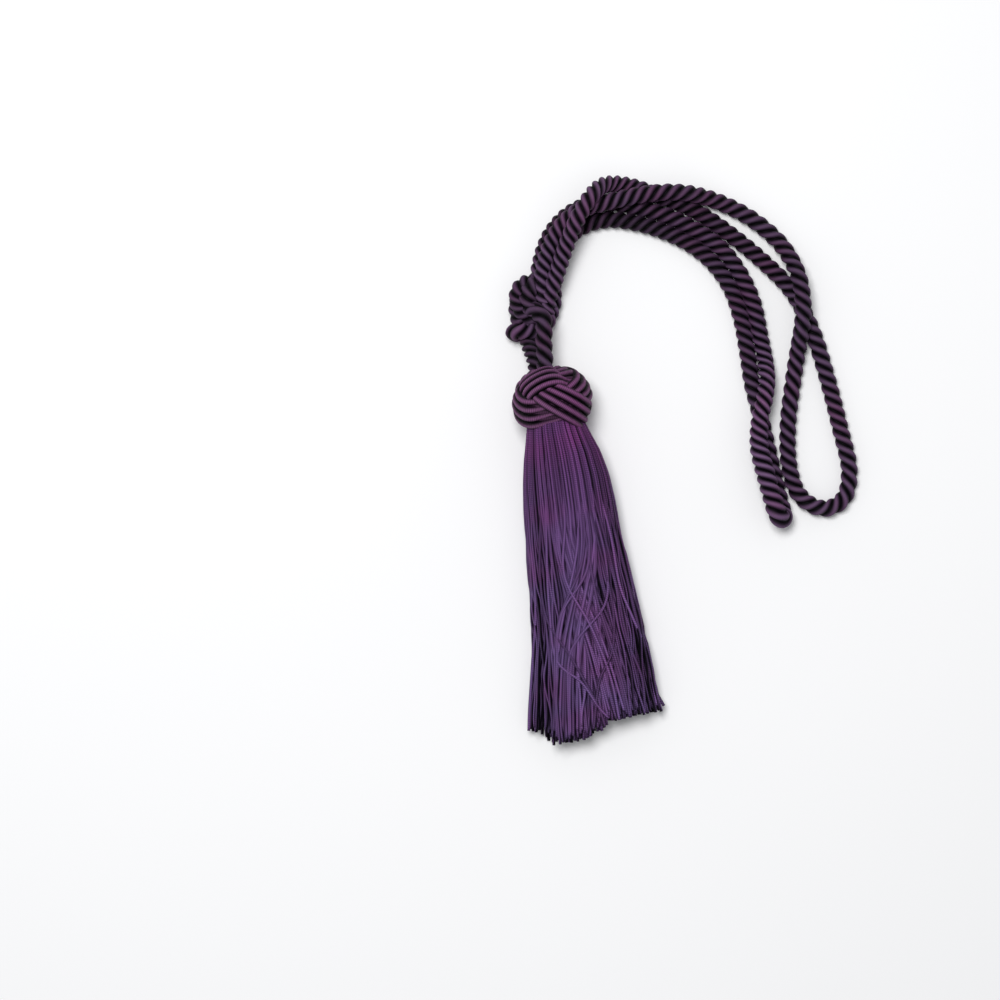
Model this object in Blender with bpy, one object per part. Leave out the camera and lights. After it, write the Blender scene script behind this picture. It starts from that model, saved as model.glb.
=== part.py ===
"""Curtain tieback tassel, lying on its side on a flat surface.

A turk's head knot caps a skirt of cut cords. Two doubled arms of three-ply rope leave a knot
above the head. Lengths in the tables are millimetres from the head's centre, x to the right and
y away from the skirt, with heights above the surface. The frame's origin is under the middle of
the head, skirt and knot.
"""
import math

import bpy
import numpy as np

MM = 0.001

# Frame: where the head's centre lies, so that the head, skirt and knot stand over the origin.
HEAD_X = -18.645
HEAD_Y = 62.12

# Rope: three plies laid left-handed.
ROPE_RADIUS = 4.45
ROPE_PLIES = 3
ROPE_PITCH = 20.7           # of the free rope; a lay table gives it from place to place
ROPE_GROOVE = 0.64          # radius in a groove, as a share of the rope's radius
ROPE_RINGS_PER_TURN = 8
ROPE_FLOOR = 4.65           # height of a rope's middle when it lies on the surface
FIT_GAP = 0.3               # between pieces that meet
CURVE_SAMPLES = 24          # of a curve between two points of its route

# Tassel: its axis runs from the neck to the cut ends of the skirt.
AXIS_TILT = math.radians(7.7)
HEAD_RADIUS = 24.3
HEAD_HEIGHT = 22.2          # of the head's centre, less than its radius: it has a flat spot
HEAD_TOP = 20.2             # from the centre to the flat round the neck
HEAD_FOOT = 17.3            # from the centre to the flat over the skirt
HEAD_TOP_FLATTEN = 0.90
HEAD_FOOT_FULLNESS = 0.75
HEAD_COLUMNS = 60
HEAD_ROWS = 25

# Turk's head: three bands round the head, four scallops at each edge. The scallops are
# stretched at one side, and the middle of the weave leans.
WEAVE_LEADS = 3
WEAVE_BIGHTS = 4
WEAVE_MIDDLE = math.radians(-14.0)
WEAVE_LEAN = math.radians(9.0)
WEAVE_SWING = math.radians(38.0)
WEAVE_PHASE = math.radians(266.0)
WEAVE_STRETCH = 0.3
WEAVE_STRETCHED_AT = math.radians(35.0)
WEAVE_RISE = 1.25
BAND_HALF_WIDTH = 9.6
BAND_CROWN = 1.5
BAND_FLOOR = 20.4           # radius between the bands

# Skirt: rings of cords round one in the middle, fused at their roots into a short plug.
CORD_RADIUS = 1.15
CORD_SIDES = 3
SKIRT_RINGS = ((1.00, 46), (0.80, 37), (0.60, 28), (0.40, 18), (0.20, 9))
SKIRT_STATIONS = 5
SKIRT_RAGGED = 2.4
SKIRT_WAVE = 1.1
SKIRT_WAVE_LENGTH = 78.0
SKIRT_LOOSE_FROM = 35.0     # distance along the axis at which the cords begin to wave
SKIRT_LOOSE_OVER = 60.0
SKIRT_STATION_POWER = 1.15  # stations lie closer together near the head
MIDDLE_SHARE = 0.32         # height of a section's middle in its depth, with no boxiness
MIDDLE_RAISE = 0.18         # and what full boxiness adds
PLUG_RADIUS = 18.7
PLUG_SIDES = 40
PLUG_THICKNESS = 3.2
PLUG_ROOT_DEPTH = 1.6
OUTLINE_SAMPLES = 241
SEED = 7

# Columns: distance along the axis, left edge, right edge, top, bottom, boxiness of the under side.
SKIRT_SECTIONS = (
    (17.3, -17.2, 17.2, 39.4, 5.0, 1.00),
    (24.0, -18.6, 19.8, 39.0, 3.6, 0.95),
    (33.0, -20.8, 23.4, 38.0, 1.6, 0.80),
    (47.0, -23.2, 26.8, 35.0, 0.58, 0.62),
    (62.0, -24.9, 28.4, 32.4, 0.58, 0.55),
    (84.0, -26.4, 29.2, 30.0, 0.58, 0.50),
    (114.0, -28.0, 32.4, 27.0, 0.58, 0.45),
    (144.0, -30.4, 35.6, 24.4, 0.58, 0.42),
    (174.0, -35.0, 37.8, 21.8, 0.58, 0.40),
    (206.0, -40.4, 40.4, 19.6, 0.58, 0.40),
)
# Columns: place across the axis, length of the cords there from the head's centre.
SKIRT_ENDS = (
    (-40.0, 192.0), (-30.0, 194.2), (-25.0, 198.0), (-19.0, 201.8), (-8.0, 198.2),
    (0.0, 195.4), (8.0, 190.8), (41.0, 190.4),
)

# Routes of the rope's middle, chosen by hand: x, y, height.
ARM_1_ROUTE = (
    (-5.4, 79.2, 13.9), (-1.2, 93.0, 13.9), (6.0, 105.3, 13.9), (16.2, 113.7, 13.9),
    (31.8, 118.5, 13.9), (51.0, 122.7, 13.9), (66.0, 124.6, 14.0), (79.8, 124.3, 12.2),
    (92.4, 121.9, 7.6), (105.0, 117.3, 4.8), (120.6, 108.6, 4.65), (135.0, 96.3, 4.9),
    (142.8, 84.6, 8.8), (147.3, 72.6, 13.2), (149.4, 58.8, 14.3), (149.1, 46.2, 12.9),
    (147.0, 30.6, 6.8), (144.6, 15.0, 4.65), (141.2, -13.8, 4.65), (142.0, -39.0, 4.65),
    (147.2, -54.6, 4.65), (156.0, -62.1, 4.65), (165.6, -63.6, 4.65), (174.6, -57.6, 4.65),
    (177.9, -42.0, 4.65), (171.9, -13.8, 4.65), (164.1, 16.2, 4.65), (155.4, 43.2, 4.65),
    (143.1, 66.6, 4.65), (126.6, 83.7, 4.65), (106.2, 100.5, 4.65), (84.6, 114.9, 4.65),
    (64.8, 122.7, 4.65), (48.6, 128.6, 5.4), (36.0, 130.0, 10.2), (28.8, 127.8, 16.2),
    (22.5, 121.2, 22.4), (16.2, 111.0, 23.4), (9.2, 94.8, 19.6), (3.6, 78.6, 17.2),
)
ARM_2_ROUTE = (
    (1.5, 76.2, 4.65), (4.2, 87.0, 4.65), (9.6, 98.1, 4.65), (18.6, 105.1, 4.65),
    (33.6, 109.0, 4.65), (50.4, 107.0, 4.65), (66.6, 102.1, 4.65), (82.8, 94.1, 4.65),
    (96.0, 83.4, 4.65), (106.8, 68.1, 4.65), (113.1, 49.8, 4.65), (116.7, 30.6, 4.65),
    (119.7, 10.8, 4.65), (124.4, -7.2, 4.65), (128.6, -25.8, 4.65), (132.4, -42.6, 4.65),
    (135.6, -55.6, 4.65), (137.4, -63.4, 5.2), (138.2, -68.6, 8.2), (136.4, -69.8, 12.4),
    (133.6, -65.4, 15.4), (131.2, -58.0, 15.6), (127.8, -46.0, 14.6), (123.4, -27.6, 13.4),
    (123.6, -11.4, 14.0), (126.4, 1.2, 14.0), (128.0, 12.4, 11.2), (127.4, 24.0, 6.2),
    (124.7, 38.4, 4.65), (120.3, 59.2, 4.65), (112.6, 76.4, 4.65), (100.0, 92.8, 4.65),
    (83.2, 104.3, 4.65), (66.6, 112.1, 4.65), (51.0, 116.4, 4.65), (34.8, 119.2, 4.65),
    (19.8, 117.3, 4.65), (9.0, 111.6, 4.65), (0.0, 101.7, 4.65), (-5.1, 90.6, 4.65),
    (-7.9, 79.2, 4.65),
)
# Lay of the ropes: the twist is tighter near the knot and where a rope is bent back, and a rope
# swells beside a fold. Columns: length along the rope, pitch there, thickness as a share of the
# free rope's.
ARM_1_LAY = (
    (0.0, 16.0, 1.0), (60.0, 18.0, 1.0), (110.0, 21.0, 1.0), (500.0, 20.7, 1.0),
    (590.0, 17.0, 1.0), (690.0, 16.0, 1.0),
)
ARM_2_LAY = (
    (0.0, 17.4, 1.0), (60.0, 19.0, 1.0), (140.0, 18.4, 1.0), (210.0, 21.0, 1.0),
    (268.0, 21.5, 1.0), (288.0, 19.0, 1.18), (330.0, 16.0, 1.14), (350.0, 15.6, 1.04),
    (385.0, 16.5, 1.0), (455.0, 19.5, 1.0), (500.0, 19.5, 1.0), (550.0, 15.6, 1.0),
    (597.0, 15.6, 1.0),
)
KNOT_LAY = ((0.0, 17.0, 1.0),)
# Ropes inside the knot, each from the joint with an arm, or from the head, inwards.
KNOT_ROUTES = {
    "upper_out": ((-6.0, 74.0, 13.9), (-6.6, 68.0, 13.8), (-6.0, 61.5, 12.8), (-4.2, 55.5, 11.0)),
    "upper_back": (
        (2.2, 74.0, 16.6), (0.0, 68.0, 15.8), (-1.6, 62.0, 14.2), (-3.0, 56.0, 12.0),
        (-4.0, 50.0, 10.0),
    ),
    "lower_out_bight": (
        (0.6, 71.0, 4.65), (0.8, 65.0, 5.6), (0.6, 59.0, 6.8), (-1.2, 52.6, 7.6),
        (-3.6, 47.2, 9.0), (-9.0, 43.6, 11.8), (-15.6, 41.8, 13.2), (-20.8, 42.0, 12.4),
        (-22.9, 41.0, 8.8), (-20.4, 40.8, 5.3), (-16.0, 41.6, 4.8),
    ),
    "lower_back_neck": (
        (-8.4, 74.0, 4.65), (-9.6, 66.0, 4.65), (-12.0, 57.0, 4.65), (-14.8, 49.0, 4.65),
        (-15.4, 41.4, 5.2), (-14.2, 35.0, 9.6), (-12.0, 28.8, 14.8),
    ),
    "ear": (
        (-4.6, 64.0, 6.2), (-9.6, 71.0, 7.6), (-15.6, 70.6, 11.2), (-20.0, 66.6, 13.2),
        (-21.0, 60.6, 13.6), (-18.9, 54.6, 13.8), (-14.2, 50.8, 13.6), (-8.2, 48.6, 12.0),
        (-2.6, 48.0, 9.6),
    ),
    "inner_ear": (
        (-10.0, 70.5, 11.6), (-13.4, 67.0, 15.4), (-14.8, 61.6, 17.4), (-13.4, 56.0, 17.4),
        (-10.0, 51.6, 15.6), (-5.0, 48.6, 12.0),
    ),
    "under_ear": (
        (-20.4, 62.0, 6.0), (-21.2, 55.4, 6.4), (-19.4, 48.6, 8.2), (-13.0, 46.2, 10.6),
        (-7.0, 45.6, 12.0),
    ),
    "neck_over": (
        (-14.0, 57.6, 9.0), (-13.2, 55.2, 15.0), (-9.4, 53.0, 21.0), (-5.4, 48.2, 23.4),
        (-5.0, 41.4, 23.4), (-5.2, 34.6, 23.6), (-4.8, 28.0, 24.6),
    ),
}
# The two ropes that go into the head: place across the axis, height.
NECK_ENDS = {"lower_back_neck": (-7.0, 18.4), "neck_over": (-1.5, 25.2)}
NECK_STRAIGHT = 3.0

# Materials: colour, roughness.
ROPE_COLOUR = ((0.060, 0.024, 0.058, 1.0), 0.52)
HEAD_COLOUR = ((0.066, 0.022, 0.060, 1.0), 0.50)
SKIRT_COLOUR = ((0.068, 0.024, 0.085, 1.0), 0.58)


def clear_scene():
    """Remove every object, so that only the tassel is left."""
    for old in list(bpy.data.objects):
        bpy.data.objects.remove(old, do_unlink=True)


def new_collection(name):
    """Return a new collection, linked to the scene."""
    made = bpy.data.collections.new(name)
    bpy.context.scene.collection.children.link(made)
    return made


def make_material(name, look):
    """Principled material of one yarn: look is its colour and roughness."""
    colour, roughness = look
    made = bpy.data.materials.new(name)
    made.use_nodes = True
    shader = made.node_tree.nodes["Principled BSDF"]
    shader.inputs["Base Color"].default_value = colour
    shader.inputs["Roughness"].default_value = roughness
    shader.inputs["Metallic"].default_value = 0.0
    return made


def add_mesh_object(name, points, faces, material, collection):
    """Make one object from points in millimetres in the part's frame."""
    mesh = bpy.data.meshes.new(name)
    mesh.from_pydata((np.asarray(points) * MM).tolist(), [], faces)
    mesh.validate()
    mesh.materials.append(material)
    made = bpy.data.objects.new(name, mesh)
    collection.objects.link(made)
    return made


def place(points):
    """Move points given from the head's centre into the part's frame."""
    return np.asarray(points, float) + (HEAD_X, HEAD_Y, 0.0)


def from_tassel(along, across, height):
    """Points in the part's frame from distances along and across the tassel's axis."""
    x = along * math.sin(AXIS_TILT) + across * math.cos(AXIS_TILT)
    y = across * math.sin(AXIS_TILT) - along * math.cos(AXIS_TILT)
    return place(np.stack([x, y, height + 0.0 * x], axis=-1))


def smooth_curve(points, step):
    """Centripetal Catmull-Rom curve through points, read off at even steps."""
    knots = np.vstack([2 * points[0] - points[1], points, 2 * points[-1] - points[-2]])
    spans = []
    for first in range(len(points) - 1):
        p0, p1, p2, p3 = knots[first:first + 4]
        t1 = math.sqrt(np.linalg.norm(p1 - p0))
        t2 = t1 + math.sqrt(np.linalg.norm(p2 - p1))
        t3 = t2 + math.sqrt(np.linalg.norm(p3 - p2))
        t = np.linspace(t1, t2, CURVE_SAMPLES, endpoint=False)[:, None]
        a1 = (t1 - t) / t1 * p0 + t / t1 * p1
        a2 = (t2 - t) / (t2 - t1) * p1 + (t - t1) / (t2 - t1) * p2
        a3 = (t3 - t) / (t3 - t2) * p2 + (t - t2) / (t3 - t2) * p3
        b1 = (t2 - t) / t2 * a1 + t / t2 * a2
        b2 = (t3 - t) / (t3 - t1) * a2 + (t - t1) / (t3 - t1) * a3
        spans.append((t2 - t) / (t2 - t1) * b1 + (t - t1) / (t2 - t1) * b2)
    fine = np.vstack(spans + [points[-1:]])
    lengths = np.concatenate([[0.0], np.cumsum(np.linalg.norm(np.diff(fine, axis=0), axis=1))])
    count = max(2, int(round(lengths[-1] / step)) + 1)
    even = np.linspace(0.0, lengths[-1], count)
    curve = np.stack([np.interp(even, lengths, fine[:, k]) for k in range(3)], axis=1)
    curve[:, 2] = np.maximum(curve[:, 2], ROPE_FLOOR)
    return curve


def unit(vectors):
    """Vectors of length one."""
    return vectors / np.linalg.norm(vectors, axis=-1, keepdims=True)


def upright(tangent):
    """The direction nearest to straight up that is square to a tangent."""
    return unit(np.array([0.0, 0.0, 1.0]) - tangent[2] * tangent)


def rope_frames(curve):
    """Tangents and least-twisting side vectors along a curve, starting upright."""
    tangents = unit(np.gradient(curve, axis=0))
    normals = [upright(tangents[0])]
    for tangent in tangents[1:]:
        carried = normals[-1] - np.dot(normals[-1], tangent) * tangent
        normals.append(unit(carried))
    return tangents, np.array(normals)


def rope_surface(curve, lay, match_end):
    """Lobed section turned left-handed along a curve, by one turn a pitch. A lay table gives the
    pitch and the thickness. Where match_end is set, one ply also ends on top, so that the next
    rope's plies run on from it."""
    tangents, normals = rope_frames(curve)
    binormals = np.cross(tangents, normals)
    steps = np.linalg.norm(np.diff(curve, axis=0), axis=1)
    lengths = np.concatenate([[0.0], np.cumsum(steps)])
    places, pitches, widths = np.array(lay).T
    rates = 1.0 / np.interp(lengths[1:] - steps / 2, places, pitches)
    width = np.interp(lengths, places, widths)[:, None]
    turns = np.concatenate([[0.0], np.cumsum(steps * rates)])
    turn = -2 * math.pi * turns[-1]
    if match_end:
        top = upright(tangents[-1])
        lean = math.atan2(np.dot(top, binormals[-1]), np.dot(top, normals[-1]))
        ply_angle = 2 * math.pi / ROPE_PLIES
        turn = lean + ply_angle * round((turn - lean) / ply_angle)
    points_round = 2 * ROPE_PLIES
    angles = 2 * math.pi * np.arange(points_round) / points_round
    radii = np.where(np.arange(points_round) % 2 == 0, 1.0, ROPE_GROOVE) * ROPE_RADIUS
    phase = turn * (turns / turns[-1])[:, None] + angles[None, :]
    on_normal = (width * radii * np.cos(phase))[..., None]
    on_binormal = (width * radii * np.sin(phase))[..., None]
    points = curve[:, None, :] + on_normal * normals[:, None, :] + on_binormal * binormals[:, None, :]
    return points.reshape(-1, 3), tube_faces(len(curve), points_round)


def tube_faces(rings, sides):
    """Quads round a tube of rings, and one face at each end."""
    faces = [tuple(reversed(range(sides)))]
    for ring in range(rings - 1):
        for side in range(sides):
            a = ring * sides + side
            b = ring * sides + (side + 1) % sides
            faces.append((a, b, b + sides, a + sides))
    faces.append(tuple(range((rings - 1) * sides, rings * sides)))
    return faces


def rope_step():
    """Distance between two rings of a rope."""
    return ROPE_PITCH / ROPE_RINGS_PER_TURN


def make_arm(name, route, lay, material, collection):
    """One doubled arm of rope, from the knot out to its loop and back."""
    curve = smooth_curve(place(route), rope_step())
    points, faces = rope_surface(curve, lay, match_end=True)
    return add_mesh_object(name, points, faces, material, collection)


def join_end(arm_end, arm_next):
    """Point a fit gap beyond an arm's end, and one further in, on the arm's own line."""
    inward = unit(np.asarray(arm_end, float) - np.asarray(arm_next, float))
    near = np.asarray(arm_end) + FIT_GAP * inward
    return near, near + 2.0 * inward


def neck_end(across, height):
    """Last two points of a rope that goes straight into the head, a fit gap short of it."""
    along = -(HEAD_TOP + FIT_GAP) - np.array([NECK_STRAIGHT, 0.0])
    return from_tassel(along, across + 0.0 * along, height)


def make_knot(material, collection, cutters):
    """The knot: its ropes are separate lobed tubes, joined into one body."""
    starts = {
        "upper_out": join_end(ARM_1_ROUTE[0], ARM_1_ROUTE[1]),
        "upper_back": join_end(ARM_1_ROUTE[-1], ARM_1_ROUTE[-2]),
        "lower_out_bight": join_end(ARM_2_ROUTE[0], ARM_2_ROUTE[1]),
        "lower_back_neck": join_end(ARM_2_ROUTE[-1], ARM_2_ROUTE[-2]),
    }
    pieces = []
    for name, route in KNOT_ROUTES.items():
        whole = place(list(starts.get(name, ())) + list(route))
        if name in NECK_ENDS:
            whole = np.vstack([whole, neck_end(*NECK_ENDS[name])])
        curve = smooth_curve(whole, rope_step())
        points, faces = rope_surface(curve, KNOT_LAY, match_end=False)
        pieces.append(add_mesh_object("knot_" + name, points, faces, material, cutters))
    knot = pieces[0]
    knot.name = "knot"
    cutters.objects.unlink(knot)
    collection.objects.link(knot)
    for piece in pieces[1:]:
        join = knot.modifiers.new("join_" + piece.name, "BOOLEAN")
        join.operation = "UNION"
        join.object = piece
        hide_guide(piece)
    return knot


def hide_guide(guide):
    """Keep a helper out of the model."""
    guide.hide_render = True
    guide.display_type = "WIRE"


def band_height(around, latitude):
    """Height of the woven bands over the head's floor. Each band's middle is a cosine of the
    angle round the head. A band rises over one crossing and dips under the next, and the
    highest band at a point is the one that shows."""
    height = np.zeros(np.broadcast(around, latitude).shape)
    rate = WEAVE_BIGHTS / WEAVE_LEADS
    for lead in range(WEAVE_LEADS):
        stretched = around - WEAVE_STRETCH * np.sin(around - WEAVE_STRETCHED_AT)
        phase = rate * (stretched + 2 * math.pi * lead) + WEAVE_PHASE
        middle = WEAVE_MIDDLE + WEAVE_LEAN * np.sin(around) + WEAVE_SWING * np.cos(phase)
        quickness = rate * (1.0 - WEAVE_STRETCH * np.cos(around - WEAVE_STRETCHED_AT))
        slope = -WEAVE_SWING * quickness * np.sin(phase) / np.cos(latitude)
        distance = HEAD_RADIUS * (latitude - middle) / np.sqrt(1.0 + slope ** 2)
        inside = np.clip(1.0 - (distance / BAND_HALF_WIDTH) ** 4, 0.0, 1.0)
        crown = BAND_CROWN + WEAVE_RISE * (1.0 - np.sin(2.0 * phase))
        height = np.maximum(height, crown * np.sqrt(inside))
    return height


def head_section(latitude, radius):
    """Distance along the axis and from it, for a latitude: a ball, flattened at the neck and
    full over the skirt."""
    upper = latitude < 0
    along = radius * np.sin(latitude) * np.where(upper, HEAD_TOP_FLATTEN, 1.0)
    out = radius * np.cos(latitude) ** np.where(upper, 1.0, HEAD_FOOT_FULLNESS)
    return along, out


def make_head(material, collection):
    """The turk's head: one solid of its woven bands, flat at the neck, foot and where it lies."""
    top = -math.asin(HEAD_TOP / (HEAD_TOP_FLATTEN * HEAD_RADIUS))
    foot = math.asin(HEAD_FOOT / HEAD_RADIUS)
    latitude = np.linspace(top, foot, HEAD_ROWS)[:, None]
    around = -2 * math.pi * np.arange(HEAD_COLUMNS)[None, :] / HEAD_COLUMNS
    radius = BAND_FLOOR + band_height(around, latitude)
    along, out = head_section(latitude, radius)
    along = np.clip(along, -HEAD_TOP, HEAD_FOOT)
    along[0, :] = -HEAD_TOP
    along[-1, :] = HEAD_FOOT
    height = np.maximum(HEAD_HEIGHT + out * np.cos(around), 0.0)
    points = from_tassel(along, out * np.sin(around), height)
    faces = tube_faces(HEAD_ROWS, HEAD_COLUMNS)
    return add_mesh_object("head", points.reshape(-1, 3), faces, material, collection)


def skirt_section(along):
    """Left, right, top, bottom and boxiness of the skirt at distances along the axis."""
    table = np.array(SKIRT_SECTIONS)
    return [np.interp(along, table[:, 0], table[:, column]) for column in range(1, table.shape[1])]


def skirt_outline(share, along):
    """Across and height of the skirt's outline at one distance along the axis, and its middle.
    Shares run evenly round it from below. The outline is round above and boxed below: there
    its sine and cosine are raised to a power under one."""
    left, right, top, bottom, boxiness = skirt_section(along)
    angle = np.linspace(-math.pi / 2, 1.5 * math.pi, OUTLINE_SAMPLES)
    sine = np.sin(angle)
    cosine = np.cos(angle)
    middle = bottom + (MIDDLE_SHARE + MIDDLE_RAISE * boxiness) * (top - bottom)
    power = np.where(sine < 0, boxiness, 1.0)
    across = (left + right) / 2 + np.sign(cosine) * np.abs(cosine) ** power * (right - left) / 2
    reach = np.where(sine < 0, middle - bottom, top - middle)
    height = middle + np.sign(sine) * np.abs(sine) ** power * reach
    steps = np.hypot(np.diff(across), np.diff(height))
    run = np.concatenate([[0.0], np.cumsum(steps)])
    at = share * run[-1]
    return np.interp(at, run, across), np.interp(at, run, height), (left + right) / 2, middle


def skirt_point(share, ring, along):
    """Across and height of a cord's middle: share is its place round the skirt from below,
    ring how far out it is."""
    rows = [skirt_outline(share, station) for station in np.atleast_1d(along)]
    out_across, out_height, mid_across, mid_height = np.array(rows).T
    across = mid_across + ring * (out_across - mid_across)
    return across, mid_height + ring * (out_height - mid_height)


def cord_points(share, ring, extra):
    """Rings of one cord of the skirt, from its root in the plug to its cut end."""
    ends = np.array(SKIRT_ENDS)
    end_across = skirt_point(share, ring, ends[1, 1])[0][0]
    end = np.interp(end_across, ends[:, 0], ends[:, 1]) + extra
    root = HEAD_FOOT + FIT_GAP + PLUG_THICKNESS - PLUG_ROOT_DEPTH
    along = root + (end - root) * np.linspace(0.0, 1.0, SKIRT_STATIONS + 1) ** SKIRT_STATION_POWER
    across, height = skirt_point(share, ring, along)
    loose = np.clip((along - SKIRT_LOOSE_FROM) / SKIRT_LOOSE_OVER, 0.0, 1.0)
    across = across + SKIRT_WAVE * loose * np.sin(2 * math.pi * along / SKIRT_WAVE_LENGTH + 2.0 * ring)
    angles = math.pi / 2 + 2 * math.pi * np.arange(CORD_SIDES) / CORD_SIDES
    around_across = across[:, None] + CORD_RADIUS * np.cos(angles)
    around_height = height[:, None] + CORD_RADIUS * np.sin(angles)
    return from_tassel(along[:, None] + 0.0 * around_across, around_across, around_height)


def make_skirt(material, collection, cutters):
    """The skirt: cords that stand apart, joined at their roots to a round plug."""
    scatter = np.random.default_rng(SEED)
    points = []
    faces = []
    rings = [(0.0, 1)] + list(SKIRT_RINGS)
    for ring, count in rings:
        for index in range(count):
            share = (index + 0.5) / count
            extra = scatter.uniform(-SKIRT_RAGGED, SKIRT_RAGGED)
            cord = cord_points(share, ring, extra).reshape(-1, 3)
            base = sum(len(group) for group in points)
            faces += [tuple(base + corner for corner in face)
                      for face in tube_faces(SKIRT_STATIONS + 1, CORD_SIDES)]
            points.append(cord)
    cords = add_mesh_object("skirt_cords", np.vstack(points), faces, material, cutters)
    hide_guide(cords)
    plug = make_plug(material, collection)
    join = plug.modifiers.new("join_cords", "BOOLEAN")
    join.operation = "UNION"
    join.object = cords
    return plug


def make_plug(material, collection):
    """Short round plug under the head, in which the skirt's cords are bound."""
    start = HEAD_FOOT + FIT_GAP
    middle = start + PLUG_THICKNESS / 2
    centre = from_tassel(np.array([middle]), np.array([0.0]), np.array([HEAD_HEIGHT]))[0] * MM
    bpy.ops.mesh.primitive_cylinder_add(
        vertices=PLUG_SIDES, radius=PLUG_RADIUS * MM, depth=PLUG_THICKNESS * MM,
        location=tuple(centre), rotation=(math.pi / 2, 0.0, AXIS_TILT))
    plug = bpy.context.object
    plug.name = "skirt"
    plug.data.name = "skirt"
    plug.data.materials.append(material)
    for holder in list(plug.users_collection):
        holder.objects.unlink(plug)
    collection.objects.link(plug)
    return plug


def build():
    """Make the whole tassel."""
    clear_scene()
    parts = new_collection("curtain_tieback_tassel")
    cutters = new_collection("guides")
    rope = make_material("rope", ROPE_COLOUR)
    head = make_material("head_cord", HEAD_COLOUR)
    skirt = make_material("skirt_cord", SKIRT_COLOUR)
    make_arm("arm_1", ARM_1_ROUTE, ARM_1_LAY, rope, parts)
    make_arm("arm_2", ARM_2_ROUTE, ARM_2_LAY, rope, parts)
    make_knot(rope, parts, cutters)
    make_head(head, parts)
    make_skirt(skirt, parts, cutters)


build()
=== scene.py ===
"""The look of a curtain tieback tassel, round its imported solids.

The tassel lies on its side on a pale surface. A turk's head of gimped cord caps a skirt of cut
cords, and two doubled arms of three-ply rope leave the knot above it. Lengths are millimetres
from the head's centre, x to the right and y away from the skirt, with heights above the surface.
"""
import math

import bpy
import numpy as np
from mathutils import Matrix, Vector


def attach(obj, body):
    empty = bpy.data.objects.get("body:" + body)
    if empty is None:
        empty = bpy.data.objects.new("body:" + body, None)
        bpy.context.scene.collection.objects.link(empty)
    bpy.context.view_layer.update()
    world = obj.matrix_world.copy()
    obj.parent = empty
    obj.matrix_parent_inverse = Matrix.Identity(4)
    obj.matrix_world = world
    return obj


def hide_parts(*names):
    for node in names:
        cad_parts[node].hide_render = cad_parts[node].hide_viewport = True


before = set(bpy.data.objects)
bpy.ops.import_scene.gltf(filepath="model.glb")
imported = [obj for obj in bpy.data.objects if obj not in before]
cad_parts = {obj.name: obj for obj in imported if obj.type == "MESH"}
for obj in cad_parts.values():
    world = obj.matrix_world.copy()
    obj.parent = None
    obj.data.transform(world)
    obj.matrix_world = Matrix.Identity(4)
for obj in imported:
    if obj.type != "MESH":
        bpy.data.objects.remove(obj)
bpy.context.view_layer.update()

MM = 0.001
TURN = 2 * math.pi
UP = np.array([0.0, 0.0, 1.0])
SEED = 11

# Frame: where the head's centre lies, and how the tassel's axis leans.
HEAD_X = -18.645
HEAD_Y = 62.12
AXIS_TILT = math.radians(7.7)

# Photograph: 1000 pixels across, the pixel of the head's centre and the size of a pixel.
PHOTO_PIXELS = 1000
HEAD_PIXEL = (552.0, 402.0)
PIXEL_SIZE = 0.6
CAMERA_HEIGHT = 2000.0
SENSOR_WIDTH = 36.0

# Rope: three plies laid left-handed. A ply's middle lies off the rope's by its offset.
ROPE_PLIES = 3
PLY_OFFSET = 2.25
PLY_RADIUS = 2.9
# In a groove two plies meet on the line halfway between their middles.
GROOVE_AT = PLY_OFFSET / 4 + math.sqrt(PLY_RADIUS ** 2 - 0.75 * PLY_OFFSET ** 2) / 2
PLY_POINTS = 16
ROPE_STEP = 0.9
ROPE_FLOOR = 4.65             # lowest height of a rope's middle
SPAN_SAMPLES = 24             # points of a curve between two points of its route
LAY_DRIFT = 0.22              # radians that the twist runs ahead or behind
LAY_DRIFT_LENGTH = 97.0       # length of rope over which it does so once
LAY_SHIFT = 6.0               # most that the threads of one cord are ahead of another's
GOLDEN_SHARE = 0.618034

# Head, a ball flattened at the neck and full over the skirt.
HEAD_HEIGHT = 22.2
HEAD_TOP = 20.2               # from its centre to the neck
HEAD_TOP_FLATTEN = 0.90
HEAD_FOOT_FULLNESS = 0.75
CORE_RADIUS = 18.2            # of the wound cords under the band, to their middles
CORE_SWELL = 2.6              # how much further out they are beside the neck, on the right
CORE_CORD_RADIUS = 2.5
CORE_TURNS = 12
CORE_TOP = math.radians(-74.0)   # latitudes of the first and the last of them
CORE_FOOT = math.radians(54.0)
CORE_STATIONS = 90
CORE_SIDES = 10
# How light they are drawn: beside the neck, where they show, and elsewhere, where painted shade darkens
# them for the shadow under the band. The painted shade comes in between the two latitudes below.
CORE_PAINTED_SHADE = (0.85, 0.30)       # at the neck, and elsewhere
CORE_SHADE_FROM = math.radians(-52.0)
CORE_SHADE_TO = math.radians(-36.0)

# Turk's head: one band of four cords goes round three times, with four bights at each edge. The
# bights are stretched at one side, and the middle of the weave leans.
WEAVE_LEADS = 3
WEAVE_BIGHTS = 4
WEAVE_MIDDLE = math.radians(-14.0)
WEAVE_LEAN = math.radians(9.0)
WEAVE_SWING = math.radians(38.0)
WEAVE_PHASE = math.radians(266.0)
WEAVE_STRETCH = 0.3
WEAVE_STRETCHED_AT = math.radians(35.0)
BAND_RADIUS = 20.2            # of the band's middle, halfway between over and under
BAND_RISE = 1.95
BAND_SQUARENESS = 2.3         # how quickly a band changes from over to under
BAND_TOGETHER = 1.5           # the larger, the nearer together its cords do so
GIMP_CORDS = 4
GIMP_RADIUS = 2.2
GIMP_SPACING = 4.8
GIMP_STATIONS = 520
GIMP_SIDES = 16

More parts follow.
